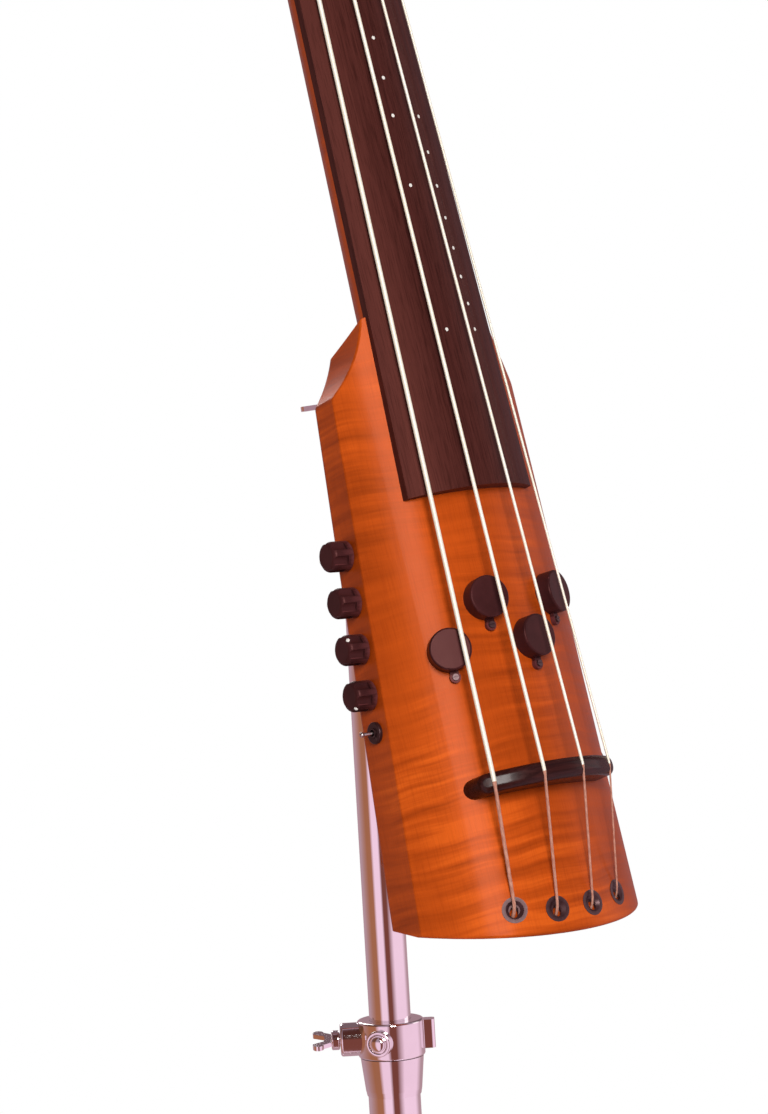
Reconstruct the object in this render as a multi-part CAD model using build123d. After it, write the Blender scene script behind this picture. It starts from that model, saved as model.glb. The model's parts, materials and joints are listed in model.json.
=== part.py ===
from build123d import *
import os
from math import atan, cos, degrees, radians, sin, sqrt, tan

os.makedirs("parts", exist_ok=True)

# A slim solid-body electric upright bass on its folding tripod stand, in millimetres.
# Instrument pieces are drawn in the instrument's own frame: X to the treble side, Y to the back,
# Z up along the strings, zero where the strings cross the bridge. Stand pieces are drawn with the
# mast's axis on Z and the floor at Z = 0. layout() puts both into one frame.

# ---- Strings and scale ----
SCALE_LENGTH = 1067.0
STRINGS = ("e", "a", "d", "g")
STRING_STEPS = (-1.5, -0.5, 0.5, 1.5)
STRING_RADII = (1.40, 1.15, 0.92, 0.75)
BRIDGE_SPACING = 28.1
BRIDGE_ARC = 76.4
NUT_SPACING = 10.2
TAIL_SPACING = 25.8
TAIL_DROP = 77.0
TAIL_RISE = 2.1
TAIL_TURN = 45.0
BALL_HALF = 2.0
CUP_DEPTH = 5.5
CUP_FLOOR = 1.1
FERRULE_DEPTH = 2.8

# ---- Fingerboard ----
BOARD_END = 172.0
BOARD_ARC = 70.0
BOARD_CROWN_AT_END = 5.3
BOARD_CROWN_AT_NUT = 2.0
BOARD_HALF_AT_END = 44.9
BOARD_HALF_AT_NUT = 22.5
BOARD_BASE_AT_END = 27.0
BOARD_BASE_AT_NUT = 10.9
DOT_RADIUS = 1.1
DOT_DEPTH = 1.6
CENTRE_DOT_STEPS = (3, 5, 7, 9, 12, 15, 16, 17, 19, 24)
TREBLE_DOT_STEPS = (12, 17, 18, 19, 20, 21, 22, 23, 24)

# ---- Body ----
BODY_ARC = 92.0
BODY_CROWN = 18.9
BODY_CROWN_SLOPE = 0.021
BODY_HALF = 76.0
BODY_TAPER = 0.0415
BODY_BACK = 88.0
BODY_BACK_SLOPE = 0.104
BOTTOM_Z = -91.6
BOTTOM_SLANT = 20.8
SHOULDER_Z = 241.0
HEEL_Z = 300.0
HEEL_HALF = 43.0
HEEL_SLOPE_Z = 283.0
HEEL_SLOPE = 22.3
FRONT_EDGE_ROUND = 1.5
BACK_EDGE_ROUND = 4.0
CAVITY_LOW = 32.0
CAVITY_HIGH = 170.0
CAVITY_DEPTH = 28.0
CAVITY_WALL = 7.0
CAVITY_INNER_X = -8.0
COVER_THICK = 2.5
COVER_LIP = 8.0

# ---- Neck and headstock ----
NECK_LOW = 262.0
NECK_DEPTH_AT_HEEL = 29.0
NECK_DEPTH_AT_NUT = 17.0
TENON_HALF = 17.0
TENON_DEPTH = 24.0
TENON_LOW = 190.0
NUT_THICK = 5.0
HEAD_TILT = 12.0
HEAD_Y = 11.2
HEAD_LENGTH = 186.0
HEAD_THICK = 18.0
HEAD_HALF_WIDE = 38.0
HEAD_HALF_TOP = 31.0
ROD_WIDTH = 6.0
ROD_DEPTH = 9.0

# ---- Tuners, in the headstock's frame ----
POST_X = 21.0
POST_LOW = 56.0
POST_HIGH = 126.0
POST_RADIUS = 4.9
POST_TOP = 15.0
RUN_CLEAR = 0.06
KEY_RADIUS = 2.0
KEY_OFFSET = 11.2
KEY_DEPTH = 6.0
KEY_BUTTON_X = 52.0

# ---- Hardware on the instrument ----
BRIDGE_WIDTH = 12.0
BRIDGE_HALF = 49.0
PICKUP_RADIUS = 12.5
PICKUP_HEIGHT = 9.0
TAB_REACH = 3.4
TAB_HALF = 3.2
TAB_THICK = 2.6
PICKUP_LOW = 81.0
PICKUP_HIGH = 107.0
KNOB_HEIGHTS = (151.0, 123.5, 96.0, 69.0)
KNOB_NAMES = ("volume_knob", "blend_knob", "bass_knob", "treble_knob")
KNOB_RADIUS = 9.0
KNOB_TALL = 14.5
SHAFT_RADIUS = 3.0
SWITCH_Z = 47.0
SWITCH_PIN = 0.8
FLANK_LINE = 12.0
FERRULE_RADIUS = 7.5
JACK_Z = 10.0
JACK_BORE = 3.25

# ---- Tilt joint between instrument and mast ----
LEAN = 18.1
PIVOT_Y = 110.94
PIVOT_Z = 256.0
PIVOT_HEIGHT = 948.53
PLATE_DROP = 12.0
PLATE_TALL = 44.0
EAR_INNER = 9.0
EAR_THICK = 5.0
EAR_ROUND = 13.0
TILT_BOLT_RADIUS = 4.0
WING_THICK = 2.8

# ---- Stand ----
MAST_RADIUS = 12.7
MAST_BOTTOM = 300.0
MAST_TOP = 918.5
TUBE_WALL = 1.5
LOWER_RADIUS = 15.9
LOWER_BOTTOM = 40.0
LOWER_TOP = 546.0
CLAMP_BOTTOM = 550.3
CLAMP_HEIGHT = 22.5
CLAMP_RADIUS = 20.4
CLAMP_TURN = -35.8
STOP_BOLT_ANGLE = 250.0
LEG_AZIMUTHS = (90.0, 210.0, 330.0)
LEG_LENGTH = 430.0
LEG_RADIUS = 9.5
LEG_ANGLE = 50.0
LEG_ANGLE_FOLDED = 8.0
BRACE_LENGTH = 160.0
LEG_PIVOT_RADIUS = 34.0
FOOT_RADIUS = 13.0
FOOT_CENTRE = 9.0
COLLAR_Z = LEG_LENGTH * cos(radians(LEG_ANGLE)) + FOOT_CENTRE
HUB_Z = COLLAR_Z - 2 * BRACE_LENGTH * cos(radians(LEG_ANGLE))
PIN_RADIUS = 3.0

CENTRED_UP = (Align.CENTER, Align.CENTER, Align.MIN)


# ---- Shared geometry of the instrument ----
def arc_drop(radius, x):
    return radius - sqrt(radius * radius - x * x)


def between(low_value, high_value, share):
    return low_value + (high_value - low_value) * share


def board_share(z):
    return (z - BOARD_END) / (SCALE_LENGTH - BOARD_END)


def board_half(z):
    return between(BOARD_HALF_AT_END, BOARD_HALF_AT_NUT, board_share(z))


def board_base(z):
    return between(BOARD_BASE_AT_END, BOARD_BASE_AT_NUT, board_share(z))


def board_crown(z):
    return between(BOARD_CROWN_AT_END, BOARD_CROWN_AT_NUT, board_share(z))


def body_half(z):
    return BODY_HALF - BODY_TAPER * z


def front_y(x, z):
    return BODY_CROWN - BODY_CROWN_SLOPE * z + arc_drop(BODY_ARC, x)


def string_at_bridge(step):
    x = step * BRIDGE_SPACING
    return x, arc_drop(BRIDGE_ARC, x) - arc_drop(BRIDGE_ARC, BRIDGE_SPACING / 2)


def string_at_nut(step):
    x = step * NUT_SPACING
    return x, arc_drop(BOARD_ARC, x) - arc_drop(BOARD_ARC, NUT_SPACING / 2)


def string_x(step, z):
    return between(string_at_bridge(step)[0], string_at_nut(step)[0], z / SCALE_LENGTH)


def semitone_z(step):
    return SCALE_LENGTH * 2 ** (-step / 12)


def tail_point(step):
    turn = step * TAIL_SPACING / BODY_ARC
    z = -TAIL_DROP + TAIL_RISE * step * step
    x = BODY_ARC * sin(turn)
    return x, front_y(x, z), z


def front_plane(x, z):
    """Plane on the arched front: its Z points out of the wood and its Y points up the strings."""
    turn = atan(x / sqrt(BODY_ARC**2 - x**2))
    return Plane(
        origin=(x, front_y(x, z), z),
        x_dir=(cos(turn), sin(turn), 0),
        z_dir=(sin(turn), -cos(turn), -BODY_CROWN_SLOPE * cos(turn)),
    )


def flank_plane(side, z):
    """Plane on a side wall, a set distance behind the front edge: its Z points out of the wood."""
    half = body_half(z)
    return Plane(
        origin=(side * half, front_y(half, z) + FLANK_LINE, z),
        x_dir=(-side * BODY_TAPER, 0, 1),
        z_dir=(side, 0, BODY_TAPER),
    )


def back_place():
    """Location on the flat back: its Y is zero on the back and negative inside the wood."""
    return Pos(0, BODY_BACK, 0) * Rot(X=degrees(atan(BODY_BACK_SLOPE)))


def head_place():
    return Pos(0, HEAD_Y, SCALE_LENGTH + NUT_THICK) * Rot(X=-HEAD_TILT)


def rod_between(start, end, radius):
    span = Vector(*end) - Vector(*start)
    plane = Plane(origin=start, z_dir=span)
    return plane * Cylinder(radius, span.length, align=CENTRED_UP)


def cross_pin(radius, half_length):
    """A cylinder along X, centred on the origin."""
    return Rot(Y=90) * Cylinder(radius, 2 * half_length)


def side_pin(radius, half_length):
    """A cylinder along Y, centred on the origin."""
    return Rot(X=90) * Cylinder(radius, 2 * half_length)


def both_sides(piece):
    return piece + mirror(piece, about=Plane.YZ)


# ---- Instrument: wood ----
def board_blank():
    low = Plane(origin=(0, 0, BOARD_END))
    high = Plane(origin=(0, 0, SCALE_LENGTH))
    sections = []
    for plane, z in ((low, BOARD_END), (high, SCALE_LENGTH)):
        half = board_half(z)
        edge = board_crown(z) + arc_drop(BOARD_ARC, half)
        base = board_base(z)
        sides = Polyline((-half, edge), (-half, base), (half, base), (half, edge))
        top = ThreePointArc((-half, edge), (0, board_crown(z)), (half, edge))
        sections.append(plane * make_face([sides, top]))
    return loft(sections)


def dot_spots():
    spots = []
    for step in CENTRE_DOT_STEPS:
        spots.append((0.0, semitone_z(step)))
    for step in TREBLE_DOT_STEPS:
        z = semitone_z(step)
        spots.append((string_x(1.0, z), z))
    return spots


def position_dots():
    dots = []
    for x, z in dot_spots():
        turn = degrees(atan(x / sqrt(BOARD_ARC**2 - x**2)))
        y = board_crown(z) + arc_drop(BOARD_ARC, x)
        sink = Pos(x, y, z) * Rot(Z=turn) * Pos(0, DOT_DEPTH / 2 - 0.05, 0)
        dots.append(sink * side_pin(DOT_RADIUS, DOT_DEPTH / 2))
    return dots


def body_outline():
    low = BOTTOM_Z - 20
    shoulder_half = body_half(SHOULDER_Z)
    lines = [
        Polyline((0, HEEL_Z), (0, low), (body_half(low), low), (shoulder_half, SHOULDER_Z)),
        TangentArc((HEEL_HALF, HEEL_Z), (shoulder_half, SHOULDER_Z), tangent=(0, -1)),
        Line((HEEL_HALF, HEEL_Z), (0, HEEL_Z)),
    ]
    half = make_face(lines)
    return half + mirror(half, about=Plane.YZ)


def body_blank():
    slab = extrude(Plane.XZ * body_outline(), amount=-140)
    arch_tilt = degrees(atan(BODY_CROWN_SLOPE))
    arch = Pos(0, BODY_CROWN + BODY_ARC, 0) * Rot(X=arch_tilt) * Cylinder(BODY_ARC, 900)
    behind = back_place() * Box(300, 200, 900, align=(Align.CENTER, Align.MIN, Align.CENTER))
    return (slab & arch) - behind - below_bottom()


def below_bottom():
    """The space under the slanted bottom of the body."""
    block = Box(300, 500, 100, align=(Align.CENTER, Align.CENTER, Align.MAX))
    return Pos(0, front_y(0, BOTTOM_Z), BOTTOM_Z) * Rot(X=BOTTOM_SLANT) * block


def above_heel():
    """The space over the sloped heel, which falls away to the back behind the neck."""
    block = Box(300, 300, 100, align=(Align.CENTER, Align.CENTER, Align.MIN))
    return Pos(0, front_y(HEEL_HALF, HEEL_Z), HEEL_SLOPE_Z) * Rot(X=-HEEL_SLOPE) * block


def rounded_body():
    wood = body_blank()
    corners = [e for e in wood.edges() if is_shoulder_corner(e)]
    wood = fillet(corners, 4.0)
    back_face = wood.faces().sort_by(Axis.Y)[-1]
    back_edges = [e for e in back_face.edges() if e.center().Z < HEEL_Z - 2]
    wood = fillet(back_edges, BACK_EDGE_ROUND)
    front_edges = [e for e in wood.edges() if is_front_rim(e)]
    return fillet(front_edges, FRONT_EDGE_ROUND)


def is_shoulder_corner(edge):
    spot = edge.center()
    along_y = abs(edge.tangent_at(0.5).Y) > 0.9
    return along_y and abs(spot.Z - SHOULDER_Z) < 6 and edge.length > 8


def is_front_rim(edge):
    spot = edge.center()
    if spot.Z > HEEL_Z - 4 or edge.length < 3:
        return False
    return abs(spot.Y - front_y(min(abs(spot.X), 84), spot.Z)) < 2.5 and not is_under_board(spot)


def is_under_board(spot):
    return abs(spot.X) < 30 and spot.Z > 0


def cavity(lip, depth):
    """The control pocket's outline, grown by lip, from the back to a depth."""
    low = CAVITY_LOW - lip
    high = CAVITY_HIGH + lip
    inner = CAVITY_INNER_X + lip
    points = [
        (-(body_half(low) - CAVITY_WALL - 6 + lip), low),
        (-(body_half(high) - CAVITY_WALL - 6 + lip), high),
        (inner, high),
        (inner, low),
    ]
    outline = Plane.XZ * make_face(Polyline(*points, close=True))
    return back_place() * Pos(0, -depth, 0) * extrude(outline, amount=-(depth + 5))


def cover_plate():
    shape = cavity(COVER_LIP - 0.3, COVER_THICK)
    trim = back_place() * Box(300, 50, 900, align=(Align.CENTER, Align.MIN, Align.CENTER))
    return shape - trim - cover_screws()


def cover_screw_places():
    low = CAVITY_LOW - COVER_LIP / 2
    high = CAVITY_HIGH + COVER_LIP / 2
    places = []
    between_knobs = (KNOB_HEIGHTS[1] + KNOB_HEIGHTS[2]) / 2
    for z in (low, between_knobs, high):
        places.append((CAVITY_INNER_X + COVER_LIP / 2, z))
        places.append((-(body_half(z) - CAVITY_WALL - 6 + COVER_LIP / 2), z))
    return places


def screw(head_radius, shank_radius, length):
    """A countersunk wood screw, head flush at Y = 0, pointing into the wood along -Y."""
    cone_height = head_radius - shank_radius
    head = Cone(head_radius, shank_radius, cone_height, align=CENTRED_UP)
    shank = Cylinder(shank_radius, length, align=CENTRED_UP)
    slot = Box(2 * head_radius, 0.7, 0.7, align=CENTRED_UP)
    return Rot(X=90) * (head + shank - slot)


def cover_screws():
    pieces = []
    for x, z in cover_screw_places():
        pieces.append(back_place() * Pos(x, 0, z) * screw(2.6, 1.3, 11))
    return pieces


def tenon():
    sections = []
    for z in (TENON_LOW, HEEL_Z + 1):
        base = board_base(z)
        outline = Rectangle(2 * TENON_HALF, TENON_DEPTH, align=(Align.CENTER, Align.MIN))
        sections.append(Plane(origin=(0, base, z)) * outline)
    return loft(sections)


def neck_section(z):
    half = board_half(z)
    share = (z - HEEL_Z) / (SCALE_LENGTH - HEEL_Z)
    depth = between(NECK_DEPTH_AT_HEEL, NECK_DEPTH_AT_NUT, share)
    base = board_base(z)
    whole = Ellipse(half, depth)
    behind = Rectangle(3 * half, 2 * depth, align=(Align.CENTER, Align.MIN))
    return Plane(origin=(0, base, z)) * (whole & behind)


def head_outline():
    half_neck = board_half(SCALE_LENGTH)
    lines = [
        Line((0, 0), (half_neck, 0)),
        Spline(
            (half_neck, 0),
            (HEAD_HALF_WIDE, 42),
            (HEAD_HALF_TOP, HEAD_LENGTH - 16),
            tangents=[(0.25, 1), (-0.1, 1)],
        ),
        ThreePointArc(
            (HEAD_HALF_TOP, HEAD_LENGTH - 16),
            (HEAD_HALF_TOP * 0.62, HEAD_LENGTH - 3),
            (0, HEAD_LENGTH),
        ),
        Line((0, HEAD_LENGTH), (0, 0)),
    ]
    half = make_face(lines)
    return half + mirror(half, about=Plane.YZ)


def post_spots():
    """Each string's post, in the headstock's frame: side, height up the head."""
    return {"e": (-1, POST_LOW), "a": (-1, POST_HIGH), "d": (1, POST_HIGH), "g": (1, POST_LOW)}


def neck_shaft():
    heights = (NECK_LOW, HEEL_Z, 480.0, 700.0, 900.0, SCALE_LENGTH + NUT_THICK + 12)
    return loft([neck_section(z) for z in heights])


def neck():
    above_head = Box(200, 50, 100, align=(Align.CENTER, Align.MAX, Align.MIN))
    shaft = neck_shaft() - head_place() * above_head
    slab = extrude(Plane.XZ * head_outline(), amount=-HEAD_THICK)
    wood = shaft + tenon() + head_place() * slab
    wood -= truss_rod()
    for side, z in post_spots().values():
        bore = Pos(side * POST_X, HEAD_THICK / 2, z) * side_pin(7.0, HEAD_THICK)
        wood -= head_place() * bore
    wood -= [head_place() * piece for piece in tuner_screws()]
    return wood


def truss_rod():
    start = (0, board_base(TENON_LOW + 15) + ROD_DEPTH / 2, TENON_LOW + 15)
    end = (0, board_base(1050) + ROD_DEPTH / 2, 1050)
    span = Vector(*end) - Vector(*start)
    plane = Plane(origin=start, x_dir=(1, 0, 0), z_dir=span)
    return plane * Box(ROD_WIDTH, ROD_DEPTH - 0.4, span.length, align=CENTRED_UP)


def nut():
    z = SCALE_LENGTH
    half = board_half(z)
    base = board_base(z + NUT_THICK)
    outline = Plane(origin=(0, 0, z)) * make_face(
        [
            Polyline((-half, 3.5), (-half, base), (half, base), (half, 3.5)),
            ThreePointArc((-half, 3.5), (0, -0.6), (half, 3.5)),
        ]
    )
    return extrude(outline, amount=NUT_THICK)


# ---- Instrument: strings ----
def string_line(name):
    """The points of one string: post, nut, bridge, tail ferrule and back of the body."""
    index = STRINGS.index(name)
    step = STRING_STEPS[index]
    radius = STRING_RADII[index]
    side, post_z = post_spots()[name]
    post_side_x = side * (POST_X - POST_RADIUS - radius - 0.1)
    post = head_place() * Pos(post_side_x, -8.0, post_z)
    nut_x, nut_y = string_at_nut(step)
    bridge_x, bridge_y = string_at_bridge(step)
    entry = tail_axis(step) * Pos(0, 0, -0.5)
    anchor = tail_axis(step) * Pos(0, 0, ball_depth(step))
    return [
        tuple(post.position),
        (nut_x, nut_y, SCALE_LENGTH + NUT_THICK / 2),
        (bridge_x, bridge_y, 0.0),
        tuple(entry.position),
        tuple(anchor.position),
    ]


def string(name):
    points = string_line(name)
    index = STRINGS.index(name)
    path = Polyline(*points)
    start = Plane(origin=points[0], z_dir=Vector(*points[1]) - Vector(*points[0]))
    piece = sweep(start * Circle(STRING_RADII[index]), path=path, transition=Transition.RIGHT)
    step = STRING_STEPS[index]
    ball = tail_axis(step) * Pos(0, 0, ball_depth(step)) * Cylinder(2.6, 2 * BALL_HALF)
    return piece + ball


def tail_axis(step):
    """Location on a string hole's axis, whose Z runs from the front down to the slanted bottom."""
    return Pos(*tail_point(step)) * Rot(X=-90 - TAIL_TURN)


def tail_reach(step):
    """The length of a string hole, from the arched front to the slanted bottom."""
    tail_y, tail_z = tail_point(step)[1:]
    rise = tan(radians(BOTTOM_SLANT))
    gap = tail_z - BOTTOM_Z - rise * (tail_y - front_y(0, BOTTOM_Z))
    turn = radians(TAIL_TURN)
    return gap / (sin(turn) + rise * cos(turn))


def ball_depth(step):
    return tail_reach(step) - CUP_DEPTH + CUP_FLOOR + 0.1 + BALL_HALF


def tail_hole(step, radius, start, length):
    return tail_axis(step) * Pos(0, 0, start) * Cylinder(radius, length, align=CENTRED_UP)


def front_ferrule(step):
    x, _, z = tail_point(step)
    base = front_plane(x, z) * Pos(0, 0, -FERRULE_DEPTH)
    flange = base * Cylinder(FERRULE_RADIUS, FERRULE_DEPTH + 0.2, align=CENTRED_UP)
    dish = front_plane(x, z) * Pos(0, 0, -1.2) * Cone(3.4, 6.2, 2.0, align=CENTRED_UP)
    return flange - dish - tail_hole(step, 2.6, -12.0, 30.0)


def bottom_cup(step):
    start = tail_reach(step) - CUP_DEPTH
    cup = tail_hole(step, 5.0, start, 20.0)
    room = tail_hole(step, 3.4, start + CUP_FLOOR, 20.0)
    throat = tail_hole(step, 1.8, start - 2.0, 20.0)
    return cup - room - throat - below_bottom()


def ferrules():
    pieces = []
    for step in STRING_STEPS:
        pieces.append(front_ferrule(step))
        pieces.append(bottom_cup(step))
    return pieces


def bridge():
    """A rounded bar across the strings that stands on the arched front."""
    half_width = BRIDGE_WIDTH / 2
    log = Pos(0, 30, 0) * Box(2 * BRIDGE_HALF, 70, BRIDGE_WIDTH)
    log = fillet(log.edges().filter_by(Axis.Y), half_width - 0.1)
    top_arc = BRIDGE_ARC - 0.4
    top_y = top_arc - arc_drop(BRIDGE_ARC, BRIDGE_SPACING / 2)
    log &= Pos(0, top_y, 0) * Cylinder(top_arc, 40)
    top_edges = [e for e in log.edges() if e.center().Y < 24 and abs(e.tangent_at(0.5).Y) < 0.9]
    log = fillet(top_edges, 4.2)
    arch_tilt = degrees(atan(BODY_CROWN_SLOPE))
    wood = Pos(0, BODY_CROWN + BODY_ARC, 0) * Rot(X=arch_tilt) * Cylinder(BODY_ARC, 300)
    return log - wood


# ---- Instrument: electrics ----
def pickup_place(name):
    index = STRINGS.index(name)
    z = PICKUP_LOW if index % 2 == 0 else PICKUP_HIGH
    return front_plane(string_x(STRING_STEPS[index], z), z)


def pickup_blank():
    puck = Pos(0, 0, -4) * Cylinder(PICKUP_RADIUS, PICKUP_HEIGHT + 4, align=CENTRED_UP)
    rim = puck.edges().filter_by(GeomType.CIRCLE).sort_by(Axis.Z)[-1]
    puck = fillet(rim, 1.2)
    tab = Pos(0, -PICKUP_RADIUS - TAB_REACH, 0) * Cylinder(TAB_HALF, TAB_THICK, align=CENTRED_UP)
    neck_of_tab = Box(1.6 * TAB_HALF, TAB_REACH + 2, TAB_THICK, align=(Align.CENTER, Align.MAX, Align.MIN))
    return puck + tab + Pos(0, 2 - PICKUP_RADIUS, 0) * neck_of_tab


def pickup_screw():
    head = Pos(0, 0, TAB_THICK) * Cylinder(1.9, 1.2, align=CENTRED_UP)
    slot = Pos(0, 0, TAB_THICK + 0.7) * Box(5, 0.7, 2, align=CENTRED_UP)
    shank = Pos(0, 0, -9) * Cylinder(1.1, 12, align=CENTRED_UP)
    return Pos(0, -PICKUP_RADIUS - TAB_REACH, 0) * (head + shank - slot)


def pickup_screws():
    return [pickup_place(name) * pickup_screw() for name in STRINGS]


def pickup(name):
    return pickup_place(name) * (pickup_blank() - pickup_screw())


def knob():
    """A fluted knob on its shaft, along +Z from the wood's surface."""
    cap = Pos(0, 0, 1.0) * Cylinder(KNOB_RADIUS, KNOB_TALL - 1.0, align=CENTRED_UP)
    rim = cap.edges().filter_by(GeomType.CIRCLE).sort_by(Axis.Z)[-1]
    cap = fillet(rim, 3.0)
    for turn in range(0, 360, 60):
        flute = Rot(Z=turn) * Pos(KNOB_RADIUS + 2.4, 0, 4.5) * Cylinder(4.0, 20, align=CENTRED_UP)
        cap -= flute
    cap -= Pos(0, 0, 1.0) * Cylinder(6.0, 3.0, align=CENTRED_UP)
    shaft = Pos(0, 0, -12.0) * Cylinder(SHAFT_RADIUS, 22.0, align=CENTRED_UP)
    return [cap - shaft, shaft]


def pot():
    """A potentiometer behind the side wall: can, bushing through the wood and nut outside."""
    can = Pos(0, 0, -23.0) * Cylinder(8.3, 9.5, align=CENTRED_UP)
    bushing = Pos(0, 0, -13.5) * Cylinder(4.6, 14.8, align=CENTRED_UP)
    washer = Cylinder(6.4, 0.5, align=CENTRED_UP)
    bolt_nut = Pos(0, 0, 0.5) * extrude(RegularPolygon(5.4, 6), amount=2.2)
    lugs = Pos(-11.0, 0, -21.5) * Box(7, 11, 1)
    bore = Pos(0, 0, -12.6) * Cylinder(SHAFT_RADIUS + RUN_CLEAR, 40, align=CENTRED_UP)
    return can + bushing + washer + bolt_nut + lugs - bore


def control_pots():
    return [flank_plane(-1, z) * pot() for z in KNOB_HEIGHTS]


def toggle_switch():
    case = Pos(0, 0, -24.0) * Box(13, 8, 10.5, align=CENTRED_UP)
    bushing = Pos(0, 0, -13.5) * Cylinder(3.0, 16.5, align=CENTRED_UP)
    dress_nut = Cylinder(6.4, 2.2, align=CENTRED_UP)
    dress_nut = fillet(dress_nut.edges().filter_by(GeomType.CIRCLE).sort_by(Axis.Z)[-1], 0.8)
    opening = Cone(1.6, 2.4, 5.0, align=CENTRED_UP) + Pos(0, 0, -1.8) * Cylinder(1.6, 2, align=CENTRED_UP)
    return case + bushing + dress_nut - opening - cross_pin(SWITCH_PIN + RUN_CLEAR, 2.4)


def toggle_lever():
    stem = rod_between((0, 0, 0), (0, 0, 9.0), 1.1)
    return stem + Pos(0, 0, 9.0) * Sphere(1.6) + cross_pin(SWITCH_PIN, 2.2)


def output_jack():
    plate = Cylinder(12.0, 1.6, align=CENTRED_UP)
    plate = fillet(plate.edges().filter_by(GeomType.CIRCLE).sort_by(Axis.Z)[-1], 0.6)
    barrel = Pos(0, 0, -32) * Cylinder(8.0, 32, align=CENTRED_UP)
    dress_nut = Pos(0, 0, 1.6) * extrude(RegularPolygon(6.8, 6), amount=2.4)
    return plate + barrel + dress_nut - Pos(0, 0, -28) * Cylinder(JACK_BORE, 60, align=CENTRED_UP)


def preamp_board():
    board = Box(30, 1.6, 62)
    chips = Pos(0, 2.2, 12) * Box(12, 2.8, 9) + Pos(4, 2.2, -14) * Box(8, 2.8, 6)
    posts = [Pos(x, -2.3, z) * side_pin(2.0, 1.5) for x in (-11, 11) for z in (-27, 27)]
    return back_place() * Pos(-28, -23.4, 132) * (board + chips + posts)


def battery():
    cell = Box(26.2, 17.2, 48.0)
    cell = fillet(cell.edges().filter_by(Axis.Z), 2.0)
    terminals = [Pos(x, 0, 25.2) * Cylinder(3.0, 2.4) for x in (-6.4, 6.4)]
    return back_place() * Pos(-27, -19.4, 62) * (cell + terminals)


def body():
    wood = rounded_body() - board_blank() - tenon() - neck_shaft() - above_heel()
    wood -= cavity(0, CAVITY_DEPTH) + cavity(COVER_LIP, COVER_THICK)
    for z in KNOB_HEIGHTS:
        wood -= flank_plane(-1, z) * Pos(0, 0, -30) * Cylinder(4.6, 40, align=CENTRED_UP)
    wood -= flank_plane(-1, SWITCH_Z) * Pos(0, 0, -30) * Cylinder(3.0, 40, align=CENTRED_UP)
    jack_room = Pos(0, 0, -40) * Cylinder(8.0, 60, align=CENTRED_UP)
    wood -= flank_plane(1, JACK_Z) * jack_room
    wood -= [pickup_place(name) * pickup_blank() for name in STRINGS]
    wood -= pickup_screws()
    wood -= cover_screws()
    wood -= [place * mount_screw() for place in mount_screw_places()]
    for step in STRING_STEPS:
        reach = tail_reach(step)
        wood -= tail_hole(step, 2.6, 0.0, reach)
        wood -= tail_hole(step, 5.0, reach - CUP_DEPTH, 30.0)
        x, _, z = tail_point(step)
        wood -= front_plane(x, z) * Pos(0, 0, -FERRULE_DEPTH) * Cylinder(FERRULE_RADIUS, 9, align=CENTRED_UP)
    return wood


# ---- Instrument: tuners, in the headstock's frame ----
def tuner_place(name):
    side, z = post_spots()[name]
    return head_place() * Pos(side * POST_X, HEAD_THICK, z), side


def tuner_screw_spots():
    return [(x, z) for x in (-11.0, 11.0) for z in (-9.0, 19.0)]


def tuner_screws():
    pieces = []
    for side, z_post in post_spots().values():
        for x, z in tuner_screw_spots():
            place = Pos(side * POST_X + x, HEAD_THICK + 2.0, z_post + z)
            pieces.append(place * screw(2.4, 1.2, 11))
    return pieces


def tuner_housing():
    plate = Pos(0, 1.0, 5) * Box(28, 2.0, 36)
    plate = fillet(plate.edges().filter_by(Axis.Y), 3.0)
    ears = [Pos(x, 5.0, KEY_OFFSET) * Box(3.0, 9.0, 8.0) for x in (-9.0, 9.0)]
    bushing = Pos(0, -HEAD_THICK / 2, 0) * side_pin(7.0, HEAD_THICK / 2)
    rim = Pos(0, -HEAD_THICK - 1.0, 0) * side_pin(8.4, 1.0)
    piece = plate + ears + bushing + rim
    piece -= side_pin(POST_RADIUS + RUN_CLEAR, 40)
    piece -= Pos(0, KEY_DEPTH, KEY_OFFSET) * cross_pin(KEY_RADIUS + RUN_CLEAR, 20)
    for x, z in tuner_screw_spots():
        piece -= Pos(x, 2.0, z) * screw(2.4, 1.2, 11)
    return piece


def tuner_housings():
    pieces = []
    for name in STRINGS:
        place, _ = tuner_place(name)
        pieces.append(place * tuner_housing())
    return pieces


def tuner_post(name):
    """The string post with its worm wheel behind the head."""
    place, _ = tuner_place(name)
    top = HEAD_THICK + POST_TOP
    shaft = Pos(0, 8.2, 0) * Rot(X=90) * Cylinder(POST_RADIUS, 8.2 + top, align=CENTRED_UP)
    waist = Torus(POST_RADIUS + 1.6, 2.4)
    shaft -= Pos(0, -HEAD_THICK - 8.0, 0) * Rot(X=90) * waist
    hole = Pos(0, -HEAD_THICK - 8.0, 0) * cross_pin(1.2, 12)
    wheel = Pos(0, 5.2, 0) * side_pin(7.3, 2.4)
    return place * (shaft + wheel - hole)


def tuner_key(name):
    """The cloverleaf key on its worm shaft."""
    place, side = tuner_place(name)
    reach = KEY_BUTTON_X - POST_X
    shaft = rod_between((-11.5, 0, 0), (reach - 6, 0, 0), KEY_RADIUS)
    worm = cross_pin(3.3, 6.5)
    collar = Pos(13.0, 0, 0) * cross_pin(3.6, 2.0)
    lobe = side_pin(7.0, 2.6)
    lobe = fillet(lobe.edges().filter_by(GeomType.CIRCLE), 1.0)
    leaf = Pos(reach, 0, 0) * lobe
    for z in (-7.5, 7.5):
        leaf += Pos(reach + 5, 0, z) * lobe
    key = shaft + worm + collar + leaf
    if side < 0:
        key = mirror(key, about=Plane.YZ)
    return place * Pos(0, KEY_DEPTH, KEY_OFFSET) * key


# ---- Tilt joint ----
def pivot_in_body():
    return Pos(0, PIVOT_Y, PIVOT_Z)


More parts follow.
